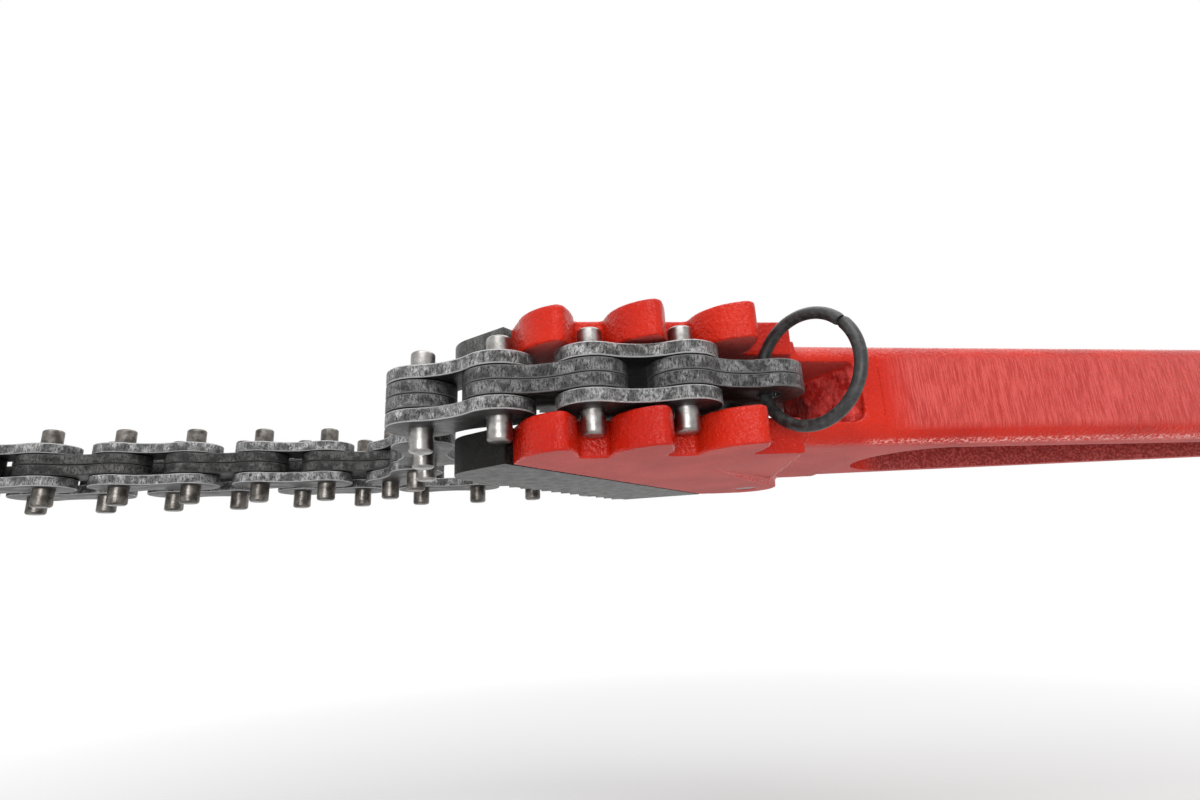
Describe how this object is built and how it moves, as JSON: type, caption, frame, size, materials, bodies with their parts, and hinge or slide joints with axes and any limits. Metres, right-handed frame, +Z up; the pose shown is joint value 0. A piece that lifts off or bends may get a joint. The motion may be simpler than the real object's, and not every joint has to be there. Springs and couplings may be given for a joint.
{
  "type": "chain pipe wrench",
  "caption": "Chain pipe wrench: red I-beam handle, head with hooking claws and toothed jaw plates, pinned steel chain with an end ring.",
  "frame": {"origin": "on the head's lower rest face, on the handle's centre line, between the claws and the chain's anchor pin", "axes": "+X along the handle towards its end, +Y towards the toothed jaws, +Z up along the chain pins"},
  "size_m": [1.1106, 0.1693, 0.04],
  "materials": {
    "red_paint": "glossy red enamel over rough casting, chipped at the claws",
    "jaw_steel": "dark grey hardened steel",
    "plate_steel": "dark blued steel with sheared edges",
    "pin_steel": "bright turned steel",
    "black_wire": "satin black wire"
  },
  "bodies": {
    "frame": {"head": "red_paint", "claws_lower": "red_paint", "claws_upper": "red_paint", "handle": "red_paint", "jaw_lower": "jaw_steel", "jaw_upper": "jaw_steel", "jaw_rivets": "jaw_steel", "anchor_pin": "pin_steel"},
    "link_01": {"link_01_plates": "plate_steel"},
    "link_02": {"link_02_plates": "plate_steel", "link_02_pins": "pin_steel"},
    "link_03": {"link_03_plates": "plate_steel"},
    "link_04": {"link_04_plates": "plate_steel", "link_04_pins": "pin_steel"},
    "link_05": {"link_05_plates": "plate_steel"},
    "link_06": {"link_06_plates": "plate_steel", "link_06_pins": "pin_steel"},
    "link_07": {"link_07_plates": "plate_steel"},
    "link_08": {"link_08_plates": "plate_steel", "link_08_pins": "pin_steel"},
    "link_09": {"link_09_plates": "plate_steel"},
    "link_10": {"link_10_plates": "plate_steel", "link_10_pins": "pin_steel"},
    "link_11": {"link_11_plates": "plate_steel"},
    "link_12": {"link_12_plates": "plate_steel", "link_12_pins": "pin_steel"},
    "link_13": {"link_13_plates": "plate_steel"},
    "link_14": {"link_14_plates": "plate_steel", "link_14_pins": "pin_steel"},
    "link_15": {"link_15_plates": "plate_steel"},
    "link_16": {"link_16_plates": "plate_steel", "link_16_pins": "pin_steel"},
    "link_17": {"link_17_plates": "plate_steel"},
    "link_18": {"link_18_plates": "plate_steel", "link_18_pins": "pin_steel"},
    "link_19": {"link_19_plates": "plate_steel"},
    "link_20": {"link_20_plates": "plate_steel", "link_20_pins": "pin_steel"},
    "link_21": {"link_21_plates": "plate_steel"},
    "link_22": {"link_22_plates": "plate_steel", "link_22_pins": "pin_steel"},
    "link_23": {"link_23_plates": "plate_steel"},
    "link_24": {"link_24_plates": "plate_steel", "link_24_pins": "pin_steel"},
    "link_25": {"link_25_plates": "plate_steel"},
    "link_26": {"link_26_plates": "plate_steel", "link_26_pins": "pin_steel"},
    "link_27": {"link_27_plates": "plate_steel"},
    "link_28": {"link_28_plates": "plate_steel", "link_28_pins": "pin_steel"},
    "link_29": {"link_29_plates": "plate_steel"},
    "ring": {"end_ring": "black_wire"}
  },
  "joints": [
    {"name": "anchor_sway", "type": "hinge", "parent": "frame", "child": "link_01", "pos_m": [0.04, 0.035, 0.02], "axis": [0, 0, 1], "range_deg": [-1.5, 1.5]},
    {"name": "pin_01", "type": "hinge", "parent": "link_01", "child": "link_02", "pos_m": [0.02543, 0.05581, 0.02], "axis": [0, 0, 1], "range_deg": [-3, 3]},
    {"name": "pin_02", "type": "hinge", "parent": "link_02", "child": "link_03", "pos_m": [0.00343, 0.06851, 0.02], "axis": [0, 0, 1], "range_deg": [-1.5, 1.5]},
    {"name": "pin_03", "type": "hinge", "parent": "link_03", "child": "link_04", "pos_m": [-0.01995, 0.07843, 0.02], "axis": [0, 0, 1], "range_deg": [-2.5, 2]},
    {"name": "pin_04", "type": "hinge", "parent": "link_04", "child": "link_05", "pos_m": [-0.04448, 0.085, 0.02], "axis": [0, 0, 1], "range_deg": [-4, 5]},
    {"name": "pin_05", "type": "hinge", "parent": "link_05", "child": "link_06", "pos_m": [-0.06974, 0.08766, 0.02], "axis": [0, 0, 1], "range_deg": [-2.5, 2]},
    {"name": "pin_06", "type": "hinge", "parent": "link_06", "child": "link_07", "pos_m": [-0.09513, 0.08677, 0.02], "axis": [0, 0, 1], "range_deg": [-4, 2]},
    {"name": "pin_07", "type": "hinge", "parent": "link_07", "child": "link_08", "pos_m": [-0.1204, 0.08421, 0.02], "axis": [0, 0, 1], "range_deg": [-4, 8]},
    {"name": "pin_08", "type": "hinge", "parent": "link_08", "child": "link_09", "pos_m": [-0.14567, 0.08164, 0.02], "axis": [0, 0, 1], "range_deg": [-4, 2]},
    {"name": "pin_09", "type": "hinge", "parent": "link_09", "child": "link_10", "pos_m": [-0.17094, 0.07907, 0.02], "axis": [0, 0, 1], "range_deg": [-4, 2]},
    {"name": "pin_10", "type": "hinge", "parent": "link_10", "child": "link_11", "pos_m": [-0.19621, 0.07651, 0.02], "axis": [0, 0, 1], "range_deg": [-4, 8]},
    {"name": "pin_11", "type": "hinge", "parent": "link_11", "child": "link_12", "pos_m": [-0.22148, 0.07394, 0.02], "axis": [0, 0, 1], "range_deg": [-4, 2]},
    {"name": "pin_12", "type": "hinge", "parent": "link_12", "child": "link_13", "pos_m": [-0.24675, 0.07137, 0.02], "axis": [0, 0, 1], "range_deg": [-8, 5]},
    {"name": "pin_13", "type": "hinge", "parent": "link_13", "child": "link_14", "pos_m": [-0.27202, 0.06881, 0.02], "axis": [0, 0, 1], "range_deg": [-5, 8]},
    {"name": "pin_14", "type": "hinge", "parent": "link_14", "child": "link_15", "pos_m": [-0.2807, 0.04494, 0.02], "axis": [0, 0, 1], "range_deg": [-8, 5]},
    {"name": "pin_15", "type": "hinge", "parent": "link_15", "child": "link_16", "pos_m": [-0.25543, 0.0475, 0.02], "axis": [0, 0, 1], "range_deg": [-5, 8]},
    {"name": "pin_16", "type": "hinge", "parent": "link_16", "child": "link_17", "pos_m": [-0.23016, 0.05007, 0.02], "axis": [0, 0, 1], "range_deg": [-4, 2]},
    {"name": "pin_17", "type": "hinge", "parent": "link_17", "child": "link_18", "pos_m": [-0.20489, 0.05264, 0.02], "axis": [0, 0, 1], "range_deg": [-4, 8]},
    {"name": "pin_18", "type": "hinge", "parent": "link_18", "child": "link_19", "pos_m": [-0.17962, 0.0552, 0.02], "axis": [0, 0, 1], "range_deg": [-4, 2]},
    {"name": "pin_19", "type": "hinge", "parent": "link_19", "child": "link_20", "pos_m": [-0.15435, 0.05777, 0.02], "axis": [0, 0, 1], "range_deg": [-4, 2]},
    {"name": "pin_20", "type": "hinge", "parent": "link_20", "child": "link_21", "pos_m": [-0.12908, 0.06034, 0.02], "axis": [0, 0, 1], "range_deg": [-4, 8]},
    {"name": "pin_21", "type": "hinge", "parent": "link_21", "child": "link_22", "pos_m": [-0.10381, 0.06291, 0.02], "axis": [0, 0, 1], "range_deg": [-4, 2]},
    {"name": "pin_22", "type": "hinge", "parent": "link_22", "child": "link_23", "pos_m": [-0.08961, 0.04185, 0.02], "axis": [0, 0, 1], "range_deg": [-1.5, 1.5]},
    {"name": "pin_23", "type": "hinge", "parent": "link_23", "child": "link_24", "pos_m": [-0.08176, 0.01769, 0.02], "axis": [0, 0, 1], "range_deg": [-3, 3]},
    {"name": "pin_24", "type": "hinge", "parent": "link_24", "child": "link_25", "pos_m": [-0.07867, -0.00752, 0.02], "axis": [0, 0, 1], "range_deg": [-1.5, 1.5]},
    {"name": "pin_25", "type": "hinge", "parent": "link_25", "child": "link_26", "pos_m": [-0.07513, -0.03267, 0.02], "axis": [0, 0, 1], "range_deg": [-9, 0]},
    {"name": "pin_26", "type": "hinge", "parent": "link_26", "child": "link_27", "pos_m": [-0.0525, -0.0442, 0.02], "axis": [0, 0, 1], "range_deg": [-45, 0]},
    {"name": "pin_27", "type": "hinge", "parent": "link_27", "child": "link_28", "pos_m": [-0.0276, -0.04922, 0.02], "axis": [0, 0, 1], "range_deg": [-50, 0]},
    {"name": "pin_28", "type": "hinge", "parent": "link_28", "child": "link_29", "pos_m": [-0.0022, -0.04967, 0.02], "axis": [0, 0, 1], "range_deg": [-70, 0]},
    {"name": "ring_swing", "type": "hinge", "parent": "link_29", "child": "ring", "pos_m": [0.02281, -0.04526, 0.02], "axis": [0, 0, 1], "range_deg": [-38, 56]}
  ],
  "couplings": [
    {"joint": "anchor_sway", "follows": "pin_01", "ratio": -0.5},
    {"joint": "pin_02", "follows": "pin_01", "ratio": -0.5},
    {"joint": "pin_03", "follows": "pin_04", "ratio": -0.5},
    {"joint": "pin_05", "follows": "pin_04", "ratio": -0.5},
    {"joint": "pin_06", "follows": "pin_07", "ratio": -0.5},
    {"joint": "pin_08", "follows": "pin_07", "ratio": -0.5},
    {"joint": "pin_09", "follows": "pin_10", "ratio": -0.5},
    {"joint": "pin_11", "follows": "pin_10", "ratio": -0.5},
    {"joint": "pin_13", "follows": "pin_12", "ratio": -1},
    {"joint": "pin_14", "follows": "pin_12", "ratio": 1},
    {"joint": "pin_15", "follows": "pin_12", "ratio": -1},
    {"joint": "pin_16", "follows": "pin_17", "ratio": -0.5},
    {"joint": "pin_18", "follows": "pin_17", "ratio": -0.5},
    {"joint": "pin_19", "follows": "pin_20", "ratio": -0.5},
    {"joint": "pin_21", "follows": "pin_20", "ratio": -0.5},
    {"joint": "pin_22", "follows": "pin_23", "ratio": -0.5},
    {"joint": "pin_24", "follows": "pin_23", "ratio": -0.5},
    {"joint": "pin_25", "follows": "pin_26", "ratio": 0.2}
  ]
}
